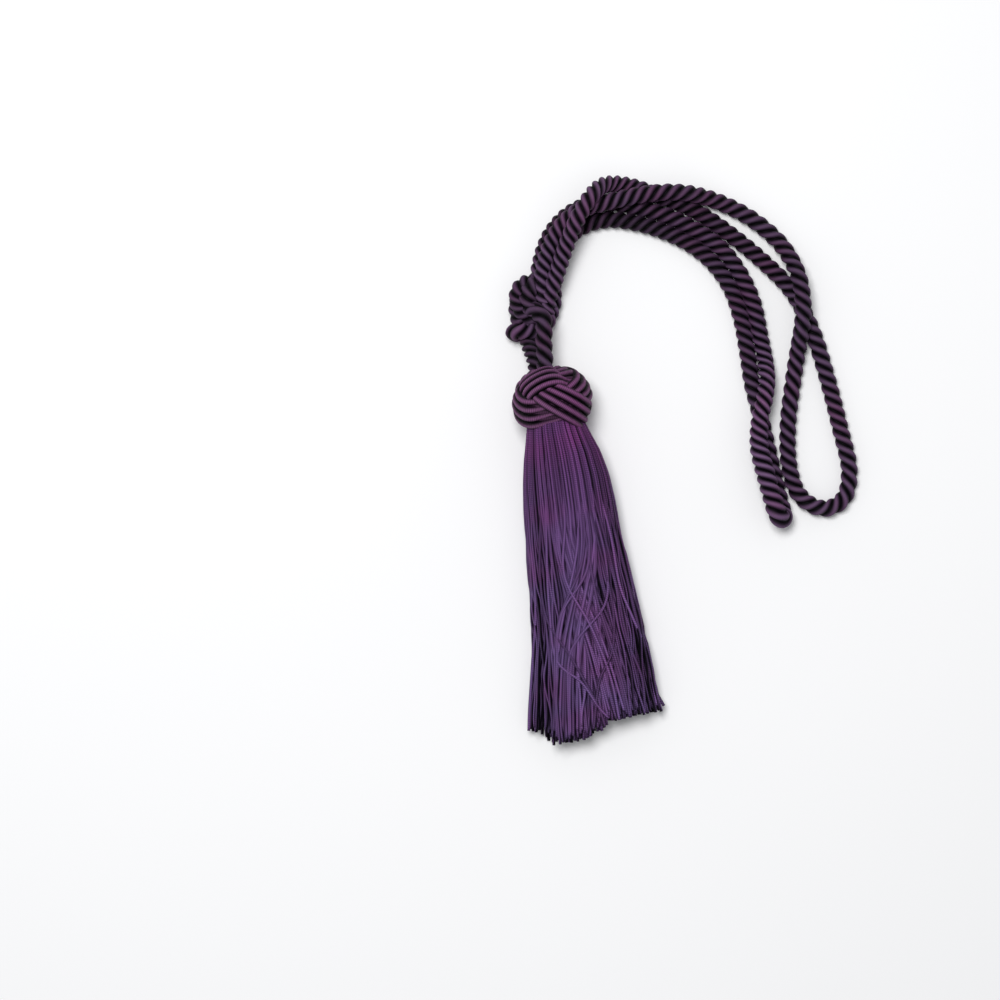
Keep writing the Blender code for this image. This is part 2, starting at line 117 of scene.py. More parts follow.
# Skirt cords. A layer is how far out its cords lie, and how many they are.
SKIRT_CORD_RADIUS = 0.92
SKIRT_ROOT = 9.0
SKIRT_LAYERS = (
    (1.00, 84), (0.91, 80), (0.81, 70), (0.71, 60), (0.61, 50),
    (0.50, 40), (0.39, 30), (0.27, 20), (0.14, 10),
)
OUTER_LAYERS = 2
OUTER_MESH = (64, 8)          # stations and sides of their cords
INNER_MESH = (34, 6)
CROSSING_MESH = (96, 10)
CORD_SHADES = (0.5, 1.35)     # the deepest and the palest cord
CUT_SHADE = 0.4               # where a cord is cut
OUTWARD_HINT = 0.01           # of up, for a cord in the very middle, which has no way out

# How a skirt cord strays.
PLACE_SCATTER = 0.35          # most it is off its place, as a share of the gap to the next
SKIRT_RAGGED = 2.4            # most it is cut longer or shorter
LOOSE_STRETCH = (40.0, 130.0)    # along the axis, where it comes loose
WAVE_LENGTHS = (60.0, 120.0)  # shortest and longest of its waves
WAVE_PARTS = (1.0, 0.45)      # length and height of their two sines, as shares of the first's
WAVE_HEIGHT = 0.9             # of the waves across the axis
WAVE_DEPTH = 0.03             # and of those in and out, as a share of the way out
DRIFT_STRETCH = (60.0, 200.0)    # along the axis, where it drifts across its neighbours
DRIFT_SPREAD = 2.6            # of its own drift
GROUP_DRIFT = 1.6             # height of the drift that neighbours share
# Columns: how many waves there are round the skirt, their phase, and what a full depth adds to it.
GROUP_WAVES = ((7, 0.0, 3.0), (11, 5.0, 8.0))
SPLAY_LENGTH = 22.0           # of the end that splays
SPLAY_ACROSS = 1.2            # spread of the splay across the axis
SPLAY_HEIGHT = 0.8            # and upwards
EDGE_SWAY = 0.12              # share of its sway outwards that it keeps at the edge
EDGE_RELEASE = 2.5            # and what it gains a half width further in, up to all of it
EDGE_PLAY = 0.5               # how far past the edge it may lie

# Skirt's outline.
OUTLINE_ROWS = 60             # stations along the axis
OUTLINE_SHARES = 240          # and shares round it
HAIR = 0.001                  # of a row, by which a place stays short of the last one
SECTION_SHARE = 0.32          # height of a section's middle in its depth, with no boxiness
SECTION_RAISE = 0.18          # and what full boxiness adds
# Columns: distance along the axis, left edge, right edge, top, bottom, boxiness of the under side.
SKIRT_SECTIONS = np.array((
    (9.0, -15.2, 15.2, 37.4, 7.0, 1.00),
    (17.3, -17.2, 17.2, 39.4, 5.0, 1.00),
    (24.0, -18.6, 19.8, 39.0, 3.6, 0.95),
    (33.0, -20.8, 23.4, 38.0, 1.6, 0.80),
    (47.0, -23.2, 26.8, 35.0, 0.9, 0.62),
    (62.0, -24.9, 28.4, 32.4, 0.9, 0.55),
    (84.0, -26.4, 29.2, 30.0, 0.9, 0.50),
    (114.0, -28.0, 32.4, 27.0, 0.9, 0.45),
    (144.0, -30.4, 35.6, 24.4, 0.9, 0.42),
    (174.0, -35.0, 37.8, 21.8, 0.9, 0.40),
    (206.0, -40.4, 40.4, 19.6, 0.9, 0.40),
))
# Columns: place across the axis, length of the cords there from the head's centre.
SKIRT_ENDS = np.array((
    (-40.0, 192.0), (-30.0, 194.2), (-25.0, 198.0), (-19.0, 201.8), (-8.0, 198.2),
    (0.0, 195.4), (8.0, 190.8), (41.0, 190.4),
))

# Cords that cross over the others on top: distance along the axis and place across it.
CROSSING_CORDS = (
    ((9.0, 3.0), (60.0, 9.0), (96.0, 4.5), (128.0, -13.0), (154.0, -19.6), (198.0, -24.0)),
    ((9.0, 3.6), (60.0, 10.4), (101.0, 6.9), (126.0, -11.6), (154.0, -18.4), (199.0, -21.5)),
    ((9.0, -6.0), (60.0, -15.0), (105.0, -21.5), (129.0, -20.4), (153.0, -9.2), (186.0, 3.3), (195.0, 5.0)),
    ((9.0, -5.0), (70.0, -13.5), (125.0, -18.6), (154.0, -17.8), (168.0, -5.2), (185.0, 3.5), (191.0, 8.0)),
    ((9.0, 6.6), (60.0, 14.4), (100.0, 18.4), (123.0, 14.8), (141.0, -3.3), (151.0, -10.2), (199.0, -17.0)),
    ((9.0, 3.4), (70.0, 8.0), (120.0, 10.2), (140.5, 13.7), (171.0, 18.6), (192.0, 20.5)),
    ((9.0, 6.0), (80.0, 14.6), (130.0, 18.8), (153.0, 14.5), (167.0, 5.9), (196.0, -2.0)),
    ((9.0, 11.0), (80.0, 23.0), (115.0, 25.0), (132.0, 29.4), (154.0, 35.4), (188.0, 37.5)),
    ((9.0, -12.0), (60.0, -22.6), (120.0, -26.4), (155.0, -33.0), (182.0, -38.4), (193.0, -40.2)),
    ((9.0, 12.6), (80.0, 26.0), (140.0, 33.0), (179.0, 38.0), (189.0, 41.8)),
    ((9.0, -1.0), (70.0, -2.4), (104.0, -7.0), (136.0, 4.6), (168.0, 12.2), (193.0, 14.0)),
    ((9.0, 8.4), (70.0, 18.0), (112.0, 22.6), (146.0, 25.0), (170.0, 30.6), (191.0, 30.0)),
)
CROSSING_LOW = 0.93           # height at the root, as a share of the skirt's upper half
CROSSING_LIFT = 0.18          # how much they rise from there, as another share of it
CROSSING_STRETCH = (45.0, 95.0)  # along the axis, where they rise
CROSSING_STEP = 2.0
# Fans of cords that cross the others, one fan over the other: how many, how much they rise, and
# where the first and the last of them are across the axis at the root, as the crossing begins,
# as it ends, and at the cut. FAN_STATIONS has the distance along the axis of the first three.
FANS = (
    (15, 0.10, (-6.0, 3.0), (-11.0, 4.0), (0.0, 20.0), (4.0, 27.0)),
    (11, 0.145, (2.0, 8.0), (3.0, 15.0), (-17.0, -3.0), (-27.0, -8.0)),
)
FAN_STATIONS = (9.0, 76.0, 140.0)
FAN_SCATTER = (0.1, 0.9)      # where a cord may lie in its own share of the fan
FAN_LATER = 16.0              # most that one cord of a fan crosses later than another
FAN_RAGGED = 4.0              # and most that it is cut shorter

# Routes of the rope's middle: x, y, height.
ARM_1_ROUTE = (
    (-5.4, 79.2, 13.9), (-1.2, 93.0, 13.9), (6.0, 105.3, 13.9), (16.2, 113.7, 13.9),
    (31.8, 118.5, 13.9), (51.0, 122.7, 13.9), (66.0, 124.6, 14.0), (79.8, 124.3, 12.2),
    (92.4, 121.9, 7.6), (105.0, 117.3, 4.8), (120.6, 108.6, 4.65), (135.0, 96.3, 4.9),
    (142.8, 84.6, 8.8), (147.3, 72.6, 13.2), (149.4, 58.8, 14.3), (149.1, 46.2, 12.9),
    (147.0, 30.6, 6.8), (144.6, 15.0, 4.65), (141.2, -13.8, 4.65), (142.0, -39.0, 4.65),
    (147.2, -54.6, 4.65), (156.0, -62.1, 4.65), (165.6, -63.6, 4.65), (174.6, -57.6, 4.65),
    (177.9, -42.0, 4.65), (171.9, -13.8, 4.65), (164.1, 16.2, 4.65), (155.4, 43.2, 4.65),
    (143.1, 66.6, 4.65), (126.6, 83.7, 4.65), (106.2, 100.5, 4.65), (84.6, 114.9, 4.65),
    (64.8, 122.7, 4.65), (48.6, 128.6, 5.4), (36.0, 130.0, 10.2), (28.8, 127.8, 16.2),
    (22.5, 121.2, 22.4), (16.2, 111.0, 23.4), (9.2, 94.8, 19.6), (3.6, 78.6, 17.2),
)
ARM_2_ROUTE = (
    (1.5, 76.2, 4.65), (4.2, 87.0, 4.65), (9.6, 98.1, 4.65), (18.6, 105.1, 4.65),
    (33.6, 109.0, 4.65), (50.4, 107.0, 4.65), (66.6, 102.1, 4.65), (82.8, 94.1, 4.65),
    (96.0, 83.4, 4.65), (106.8, 68.1, 4.65), (113.1, 49.8, 4.65), (116.7, 30.6, 4.65),
    (119.7, 10.8, 4.65), (124.4, -7.2, 4.65), (128.6, -25.8, 4.65), (132.4, -42.6, 4.65),
    (135.6, -55.6, 4.65), (137.4, -63.4, 5.2), (138.2, -68.6, 8.2), (136.4, -69.8, 12.4),
    (133.6, -65.4, 15.4), (131.2, -58.0, 15.6), (127.8, -46.0, 14.6), (123.4, -27.6, 13.4),
    (123.6, -11.4, 14.0), (126.4, 1.2, 14.0), (128.0, 12.4, 11.2), (127.4, 24.0, 6.2),
    (124.7, 38.4, 4.65), (120.3, 59.2, 4.65), (112.6, 76.4, 4.65), (100.0, 92.8, 4.65),
    (83.2, 104.3, 4.65), (66.6, 112.1, 4.65), (51.0, 116.4, 4.65), (34.8, 119.2, 4.65),
    (19.8, 117.3, 4.65), (9.0, 111.6, 4.65), (0.0, 101.7, 4.65), (-5.1, 90.6, 4.65),
    (-7.9, 79.2, 4.65),
)
# Ropes inside the knot, each from near an arm's end, or from where it shows, inwards.
KNOT_ROUTES = {
    "upper_out": ((-6.0, 74.0, 13.9), (-6.6, 68.0, 13.8), (-6.0, 61.5, 12.8), (-4.2, 55.5, 11.0)),
    "upper_back": (
        (2.2, 74.0, 16.6), (0.0, 68.0, 15.8), (-1.6, 62.0, 14.2), (-3.0, 56.0, 12.0),
        (-4.0, 50.0, 10.0),
    ),
    "lower_out_bight": (
        (0.6, 71.0, 4.65), (0.8, 65.0, 5.6), (0.6, 59.0, 6.8), (-1.2, 52.6, 7.6),
        (-3.6, 47.2, 9.0), (-9.0, 43.6, 11.8), (-15.6, 41.8, 13.2), (-20.8, 42.0, 12.4),
        (-22.9, 41.0, 8.8), (-20.4, 40.8, 5.3), (-16.0, 41.6, 4.8),
    ),
    "lower_back_neck": (
        (-8.4, 74.0, 4.65), (-9.6, 66.0, 4.65), (-12.0, 57.0, 4.65), (-14.8, 49.0, 4.65),
        (-15.4, 41.4, 5.2), (-14.2, 35.0, 9.6), (-12.0, 28.8, 14.8),
    ),
    "ear": (
        (-4.6, 64.0, 6.2), (-9.6, 71.0, 7.6), (-15.6, 70.6, 11.2), (-20.0, 66.6, 13.2),
        (-21.0, 60.6, 13.6), (-18.9, 54.6, 13.8), (-14.2, 50.8, 13.6), (-8.2, 48.6, 12.0),
        (-2.6, 48.0, 9.6),
    ),
    "inner_ear": (
        (-10.0, 70.5, 11.6), (-13.4, 67.0, 15.4), (-14.8, 61.6, 17.4), (-13.4, 56.0, 17.4),
        (-10.0, 51.6, 15.6), (-5.0, 48.6, 12.0),
    ),
    "under_ear": (
        (-20.4, 62.0, 6.0), (-21.2, 55.4, 6.4), (-19.4, 48.6, 8.2), (-13.0, 46.2, 10.6),
        (-7.0, 45.6, 12.0),
    ),
    "neck_over": (
        (-14.0, 57.6, 9.0), (-13.2, 55.2, 15.0), (-9.4, 53.0, 21.0), (-5.4, 48.2, 23.4),
        (-5.0, 41.4, 23.4), (-5.2, 34.6, 23.6), (-4.8, 28.0, 24.6),
    ),
}
# Lay of the arms: the twist is tighter near the knot and where a rope is bent back, and a rope swells
# beside a fold. Columns: length along the arm, pitch there, thickness as a share of the free rope's, and
# painted shade and light, which is what the yarn's colour is multiplied by. It is below one where a rope is
# in shadow, as under the ropes over it, and above one where it is lit, as along the limb beside the fold,
# whose plies lie open. Pitches are those of the imported solids.
ARM_1_LAY = (
    (0.0, 16.0, 1.0, 1.15), (60.0, 18.0, 1.0, 0.90), (110.0, 21.0, 1.0, 0.75),
    (200.0, 21.0, 1.0, 0.75), (260.0, 21.0, 1.0, 1.00), (430.0, 21.0, 1.0, 0.95),
    (500.0, 20.7, 1.0, 0.75), (575.0, 17.6, 1.0, 0.48), (590.0, 17.0, 1.0, 0.55),
    (620.0, 16.7, 1.0, 1.00), (690.0, 16.0, 1.0, 1.15),
)
ARM_2_LAY = (
    (0.0, 17.4, 1.0, 1.05), (30.0, 18.2, 1.0, 0.55), (60.0, 19.0, 1.0, 0.32),
    (90.0, 18.8, 1.0, 0.55), (140.0, 18.4, 1.0, 0.72), (210.0, 21.0, 1.0, 0.85),
    (268.0, 21.5, 1.0, 1.00), (288.0, 19.0, 1.18, 1.20), (330.0, 16.0, 1.14, 1.50),
    (350.0, 15.6, 1.04, 1.50), (385.0, 16.5, 1.0, 1.25), (405.0, 17.5, 1.0, 0.90),
    (455.0, 19.5, 1.0, 0.80), (500.0, 19.5, 1.0, 0.72), (550.0, 15.6, 1.0, 0.34),
    (575.0, 15.6, 1.0, 0.45), (597.0, 15.6, 1.0, 0.95), (625.0, 15.0, 1.0, 0.45),
    (650.0, 14.4, 1.0, 0.45),
)
# Each arm: its node, its route, its lay, and the ropes of the knot at its start and end.
ARMS = {
    "arm_1_rope": ("arm_1", ARM_1_ROUTE, ARM_1_LAY, "upper_out", "upper_back"),
    "arm_2_rope": ("arm_2", ARM_2_ROUTE, ARM_2_LAY, "lower_out_bight", "lower_back_neck"),
}
# Pitch of the knot's other ropes.
KNOT_PITCHES = {"ear": 15.6, "inner_ear": 17.0, "under_ear": 16.5, "neck_over": 24.0}
KNOT_SHADE = 0.66             # what their colour is multiplied by, which draws them darker than most of the arms
# The two ropes that go into the head: place across the axis, height.
NECK_ENDS = {"lower_back_neck": (-7.0, 18.4), "neck_over": (-1.5, 25.2)}
NECK_STRAIGHT = 3.0           # how far above the head they are already straight
NECK_INSIDE = 14.0            # how far from the head's centre they stop

# Finish of every cord. Thread lines run from nought in a gap to one on a thread.
PATCH_NOISE = (38.0, 2.0)     # scale and detail of the patches of redder dye
PATCH_RANGE = (0.42, 0.66)    # noise at which a patch begins, and is full
THREAD_EVEN = 0.6             # place in the thread lines where the colour is the dye's own
THREAD_CONTRAST = 0.7
FUZZ_NOISE = (2600.0, 1.0)    # scale and detail
FUZZ_HEIGHT = 0.6             # as a share of a thread's
ROUGHNESS = 0.60
THREAD_ROUGHNESS = -0.08      # what a thread adds
GLOSS = 0.08
SHEEN = 0.03
SHEEN_ROUGHNESS = 0.35

# Looks. Colours run from a near-black painted shade in the grooves, and on the side of a cord that faces
# in, to the dye on the crowns, with patches of another dye. A far dye and patch replace them over
# far_range, a length along the cord, which makes the skirt darker and redder near the head and paler and
# bluer towards the cut. Crown is what is round: a ply, or the whole cord. The colour starts to turn from
# the painted shade to the dye at crown_start, and peak is the power it does so by, which keeps the painted
# shade wide and the crown narrow. Count and rate are the threads round it and their turns a millimetre,
# thread is their height in millimetres, and bump is how strongly that shows.
ROPE_LOOK = {
    "crown": "ply", "crown_start": 0.16, "peak": 2.4, "count": 11.0, "rate": 0.16,
    "thread": 0.12, "bump": 0.7, "sheen_tint": (0.85, 0.78, 0.90),
    "painted_shade": (0.0004, 0.0001, 0.0010), "dye": (0.124, 0.068, 0.140), "patch": (0.142, 0.058, 0.134),
}
HEAD_LOOK = {
    "crown": "cord", "crown_start": 0.60, "peak": 3.8, "count": 1.0, "rate": 0.98,
    "thread": 0.20, "bump": 0.9, "sheen_tint": (0.88, 0.78, 0.90),
    "painted_shade": (0.0004, 0.0001, 0.0008), "dye": (0.176, 0.070, 0.162), "patch": (0.196, 0.060, 0.174),
}
SKIRT_LOOK = {
    "crown": "cord", "crown_start": 0.45, "peak": 1.8, "count": 2.0, "rate": 0.78,
    "thread": 0.20, "bump": 1.0, "sheen_tint": (0.85, 0.75, 0.95),
    "painted_shade": (0.0012, 0.0003, 0.0035), "dye": (0.116, 0.040, 0.146), "patch": (0.150, 0.038, 0.156),
    "far_dye": (0.148, 0.084, 0.235), "far_patch": (0.168, 0.070, 0.215), "far_range": (20.0, 110.0),
}

# Stage, in metres and watts.
FLOOR_HALF = 3.0
FLOOR_COLOUR = (0.93, 0.93, 0.935, 1.0)
FLOOR_ROUGHNESS = 0.85
FLOOR_GLOSS = 0.1
KEY_PLACE = (-0.32, 0.50, 1.85)
KEY_POWER = 28.0
KEY_SIZE = 0.75
WORLD_COLOUR = (0.97, 0.98, 1.0, 1.0)
WORLD_STRENGTH = 0.40


# -------------------- shapes

def place(points):
    """Move points given from the head's centre into the part's frame."""
    return np.asarray(points, float) + (HEAD_X, HEAD_Y, 0.0)


def from_tassel(along, across, height):
    """Points in the part's frame: the distances along and across the tassel's axis, turned by
    the axis's tilt, and the height."""
    along, across, height = np.broadcast_arrays(along, across, height)
    x = along * math.sin(AXIS_TILT) + across * math.cos(AXIS_TILT)
    y = across * math.sin(AXIS_TILT) - along * math.cos(AXIS_TILT)
    return place(np.stack([x, y, height], axis=-1))


def unit(vectors):
    """Vectors divided by their length."""
    return vectors / np.linalg.norm(vectors, axis=-1, keepdims=True)


def run_length(curve):
    """Length of a curve up to each of its points: the running sum of its steps."""
    steps = np.linalg.norm(np.diff(curve, axis=-2), axis=-1)
    return np.concatenate([np.zeros_like(steps[..., :1]), np.cumsum(steps, axis=-1)], axis=-1)


def smooth_curve(points, step):
    """Smooth curve through points, of cubic spans that run faster where the points are further
    apart, read off at even steps of its length."""
    knots = np.vstack([2 * points[0] - points[1], points, 2 * points[-1] - points[-2]])
    p0, p1, p2, p3 = (knots[first:first + len(points) - 1, None, :] for first in range(4))
    t1 = np.sqrt(np.linalg.norm(p1 - p0, axis=-1, keepdims=True))
    t2 = t1 + np.sqrt(np.linalg.norm(p2 - p1, axis=-1, keepdims=True))
    t3 = t2 + np.sqrt(np.linalg.norm(p3 - p2, axis=-1, keepdims=True))
    t = t1 + (t2 - t1) * np.linspace(0.0, 1.0, SPAN_SAMPLES, endpoint=False)[None, :, None]
    a1 = (t1 - t) / t1 * p0 + t / t1 * p1
    a2 = (t2 - t) / (t2 - t1) * p1 + (t - t1) / (t2 - t1) * p2
    a3 = (t3 - t) / (t3 - t2) * p2 + (t - t2) / (t3 - t2) * p3
    b1 = (t2 - t) / t2 * a1 + t / t2 * a2
    b2 = (t3 - t) / (t3 - t1) * a2 + (t - t1) / (t3 - t1) * a3
    fine = ((t2 - t) / (t2 - t1) * b1 + (t - t1) / (t2 - t1) * b2).reshape(-1, 3)
    fine = np.vstack([fine, points[-1:]])
    lengths = run_length(fine)
    even = np.linspace(0.0, lengths[-1], max(3, int(round(lengths[-1] / step)) + 1))
    curve = np.stack([np.interp(even, lengths, fine[:, axis]) for axis in range(3)], axis=1)
    curve[:, 2] = np.maximum(curve[:, 2], ROPE_FLOOR)
    return curve


def ramp(value, start, end):
    """Nought before start, one after end, and a smooth step between."""
    share = np.clip((value - start) / (end - start), 0.0, 1.0)
    return share * share * (3 - 2 * share)


def side_vectors(tangents, reference):
    """Two vectors square to each tangent: the reference without its part along the tangent, and
    the cross product of the tangent with that."""
    dots = np.sum(reference * tangents, axis=-1, keepdims=True)
    first = unit(reference - dots * tangents)
    return first, np.cross(tangents, first)


def still_frame(curve):
    """Two side vectors that don't turn about the curve: the upright pair, turned back by the
    running sum of the tangent's rise times its change of heading."""
    tangents = unit(np.gradient(curve, axis=0))
    upright, sideways = side_vectors(tangents, UP)
    heading = np.unwrap(np.arctan2(tangents[:, 1], tangents[:, 0]))
    rise = (tangents[1:, 2] + tangents[:-1, 2]) / 2
    spin = -np.concatenate([[0.0], np.cumsum(rise * np.diff(heading))])
    cosine = np.cos(spin)[:, None]
    sine = np.sin(spin)[:, None]
    return cosine * upright + sine * sideways, cosine * sideways - sine * upright


def tube_part(rings, across, lengths, shade, closed=False):
    """Mesh arrays of tubes. rings is tubes by stations by sides by 3. across has one value more
    than there are sides, lengths is tubes by stations, and shade is tubes by stations. A tube
    that isn't closed on itself gets a fan round a middle point at each end."""
    tubes, stations, sides, _ = rings.shape
    first = (np.arange(tubes) * stations * sides)[:, None, None]
    ring = np.arange(stations if closed else stations - 1)[None, :, None]
    after = (ring + 1) % stations
    side = np.arange(sides)[None, None, :]
    beside = (side + 1) % sides
    corners = np.stack([
        first + ring * sides + side, first + ring * sides + beside,
        first + after * sides + beside, first + after * sides + side], axis=-1)
    along_here = lengths[:, ring[0, :, 0]]
    step = lengths[:, 1:2] - lengths[:, 0:1]
    along_next = along_here + step if closed else lengths[:, 1:]
    shape = (tubes, ring.shape[1], sides)
    u_here = np.broadcast_to(across[:-1], shape)
    u_beside = np.broadcast_to(across[1:], shape)
    v_here = np.broadcast_to(along_here[:, :, None], shape)
    v_next = np.broadcast_to(along_next[:, :, None], shape)
    quad_uv = np.stack([
        np.stack([u_here, v_here], axis=-1), np.stack([u_beside, v_here], axis=-1),
        np.stack([u_beside, v_next], axis=-1), np.stack([u_here, v_next], axis=-1)], axis=-2)
    part = {
        "points": rings.reshape(-1, 3),
        "quads": corners.reshape(-1, 4),
        "quad_uv": quad_uv.reshape(-1, 2),
        "shade": np.repeat(shade.reshape(-1), sides),
        "fans": np.zeros((0, 3), int),
        "fan_uv": np.zeros((0, 2)),
    }
    return part if closed else with_ends(part, rings, across, lengths, shade)


def with_ends(part, rings, across, lengths, shade):
    """Close tubes: each end gets its ring's points again, the ring's mean as a middle point, and
    a fan of triangles from the middle to the ring, which faces away from the tube."""
    tubes, _, sides, _ = rings.shape
    side = np.arange(sides)[None, :]
    beside = (side + 1) % sides
    points = [part["points"]]
    shades = [part["shade"]]
    fans = []
    count = len(part["points"])
    for station, turned in ((0, True), (-1, False)):
        corners = np.concatenate([rings[:, station], rings[:, station].mean(axis=1)[:, None]], axis=1)
        first = count + np.arange(tubes)[:, None] * (sides + 1)
        pair = (first + beside, first + side) if turned else (first + side, first + beside)
        fans.append(np.stack([first + sides + 0 * side, *pair], axis=-1).reshape(-1, 3))
        points.append(corners.reshape(-1, 3))
        shades.append(np.repeat(shade[:, station], sides + 1))
        count += tubes * (sides + 1)
    u = np.tile(across[:-1], 2 * tubes)
    v = np.repeat(np.concatenate([lengths[:, 0], lengths[:, -1]]), sides)
    part["points"] = np.concatenate(points)
    part["shade"] = np.concatenate(shades)
    part["fans"] = np.concatenate(fans)
    part["fan_uv"] = np.repeat(np.stack([u, v], axis=-1), 3, axis=0)
    return part


def shifted_lengths(lines):
    """Length along each line, begun a little later on each, by the golden share of the last, so
    that the threads of two cords side by side don't line up."""
    shift = LAY_SHIFT * np.mod(GOLDEN_SHARE * np.arange(len(lines)), 1.0)
    return run_length(lines) + shift[:, None]


def round_rings(lines, tangents, reference, radius, sides):
    """Rings round many lines at once: the line's point plus the radius in evenly turned
    directions square to the tangent, of which the first is nearest to the reference."""
    first, second = side_vectors(tangents, reference)
    angle = TURN * np.arange(sides)[:, None] / sides
    on_first = np.cos(angle) * first[:, :, None, :]
    on_second = np.sin(angle) * second[:, :, None, :]
    return lines[:, :, None, :] + radius * (on_first + on_second)


def joined(parts):
    """Mesh arrays of several parts in one, with each part's corners counted on from the last."""
    starts = np.concatenate([[0], np.cumsum([len(part["points"]) for part in parts])[:-1]])
    whole = {key: np.concatenate([part[key] for part in parts]) for key in parts[0]}
    for key in ("quads", "fans"):
        whole[key] = np.concatenate([part[key] + start for part, start in zip(parts, starts)])
    return whole


def new_object(name, data):
    """An object in the scene."""
    thing = bpy.data.objects.new(name, data)
    bpy.context.scene.collection.objects.link(thing)
    return thing


def make_piece(name, part, material, nodes):
    """One piece from mesh arrays. It rides on the root body and stands for the named nodes."""
    mesh = bpy.data.meshes.new(name)
    corners = np.concatenate([part["quads"].ravel(), part["fans"].ravel()]).astype(np.int32)
    quad_starts = 4 * np.arange(len(part["quads"]))
    fan_starts = 4 * len(part["quads"]) + 3 * np.arange(len(part["fans"]))
    starts = np.concatenate([quad_starts, fan_starts]).astype(np.int32)
    corner_uv = np.concatenate([part["quad_uv"], part["fan_uv"]]).astype(np.float32)
    mesh.vertices.add(len(part["points"]))
    mesh.vertices.foreach_set("co", (part["points"] * MM).astype(np.float32).ravel())
    mesh.loops.add(len(corners))
    mesh.loops.foreach_set("vertex_index", corners)
    mesh.polygons.add(len(starts))
    mesh.polygons.foreach_set("loop_start", starts)
    mesh.update(calc_edges=True)
    lay = mesh.uv_layers.new(name="lay")
    lay.data.foreach_set("uv", corner_uv.ravel())
    shade = mesh.attributes.new("shade", "FLOAT", "POINT")
    shade.data.foreach_set("value", part["shade"].astype(np.float32))
    mesh.shade_smooth()
    mesh.materials.append(material)
    piece = new_object(name, mesh)
    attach(piece, "root")
    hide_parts(*nodes)
    return piece


# -------------------- rope

def rope_rings(curve, lengths, pitch, width):
    """Rings of three round plies laid about a curve. A point of a ply is the ply's middle, at its
    offset, plus the ply's radius in a direction that runs from one groove to the next, all times
    the width there. The plies turn left-handed: the turn is the running sum of each step over
    the pitch there."""
    first, second = still_frame(curve)
    steps = np.concatenate([[0.0], np.diff(lengths)])
    turn = -TURN * np.cumsum(steps / pitch) + LAY_DRIFT * np.sin(TURN * lengths / LAY_DRIFT_LENGTH)
    groove = math.acos((GROOVE_AT - PLY_OFFSET) / PLY_RADIUS)
    ply = np.repeat(np.arange(ROPE_PLIES), PLY_POINTS) * TURN / ROPE_PLIES
    bend = np.tile(np.linspace(-groove, groove, PLY_POINTS, endpoint=False), ROPE_PLIES)
    x = PLY_OFFSET * np.cos(ply) + PLY_RADIUS * np.cos(ply + bend)
    y = PLY_OFFSET * np.sin(ply) + PLY_RADIUS * np.sin(ply + bend)
    cosine = (width * np.cos(turn))[:, None]
    sine = (width * np.sin(turn))[:, None]
    on_first = (x * cosine - y * sine)[..., None]
    on_second = (x * sine + y * cosine)[..., None]
    rings = curve[:, None, :] + on_first * first[:, None, :] + on_second * second[:, None, :]
    rings[..., 2] = np.maximum(rings[..., 2], 0.0)
    return rings


def rope_part(rings, lengths, shade):
    """Mesh arrays of a stretch of rope."""
    across = np.linspace(0.0, ROPE_PLIES, ROPE_PLIES * PLY_POINTS + 1)
    return tube_part(rings[None], across, lengths[None], shade[None])


def knot_points(name):
    """A rope's route inside the knot, with its straight end in the head if it has one."""
    points = place(KNOT_ROUTES[name])
    if name in NECK_ENDS:
        end = from_tassel(np.array([-HEAD_TOP - NECK_STRAIGHT, -NECK_INSIDE]), *NECK_ENDS[name])
        points = np.vstack([points, end])
    return points


def make_ropes(material):
    """The free arms and the ropes of the knot. An arm and its two ends in the knot are one rope, which is
    divided where the arm begins and ends."""
    knot = []
    for name, (node, route, lay, out_end, back_end) in ARMS.items():
        whole = [knot_points(out_end)[::-1], place(route), knot_points(back_end)]
        curve = smooth_curve(np.vstack(whole), ROPE_STEP)
        lengths = run_length(curve)
        start = np.linalg.norm(curve - place(route[0]), axis=1).argmin()
        end = np.linalg.norm(curve - place(route[-1]), axis=1).argmin()
        places, *columns = np.array(lay).T
        # The lay's last column is painted shade and light along the rope.
        pitch, width, shade = (np.interp(lengths - lengths[start], places, row) for row in columns)
        rings = rope_rings(curve, lengths, pitch, width)
        before, free, after = (
            rope_part(rings[part], lengths[part], shade[part])
            for part in (slice(start + 1), slice(start, end + 1), slice(end, None)))
        arm = make_piece(name, free, material, [node])
        knot += [before, after]
    for name, pitch in KNOT_PITCHES.items():
        curve = smooth_curve(knot_points(name), ROPE_STEP)
        lengths = run_length(curve)
        rings = rope_rings(curve, lengths, pitch, np.ones_like(lengths))
        knot.append(rope_part(rings, lengths, np.full_like(lengths, KNOT_SHADE)))
    make_piece("knot_ropes", joined(knot), material, ["knot"])


# -------------------- head

def head_section(latitude, radius):
    """Distance along the axis and from it: a circle of that radius, flattened on the neck's side
    and raised to a power under one on the skirt's side."""
    upper = latitude < 0
    along = radius * np.sin(latitude) * np.where(upper, HEAD_TOP_FLATTEN, 1.0)
    out = radius * np.cos(latitude) ** np.where(upper, 1.0, HEAD_FOOT_FULLNESS)
    return along, out


def on_head(around, latitude, radius):
    """Points in the part's frame at an angle round the axis from straight up."""
    along, out = head_section(latitude, radius)
    return from_tassel(along, out * np.sin(around), HEAD_HEIGHT + out * np.cos(around))


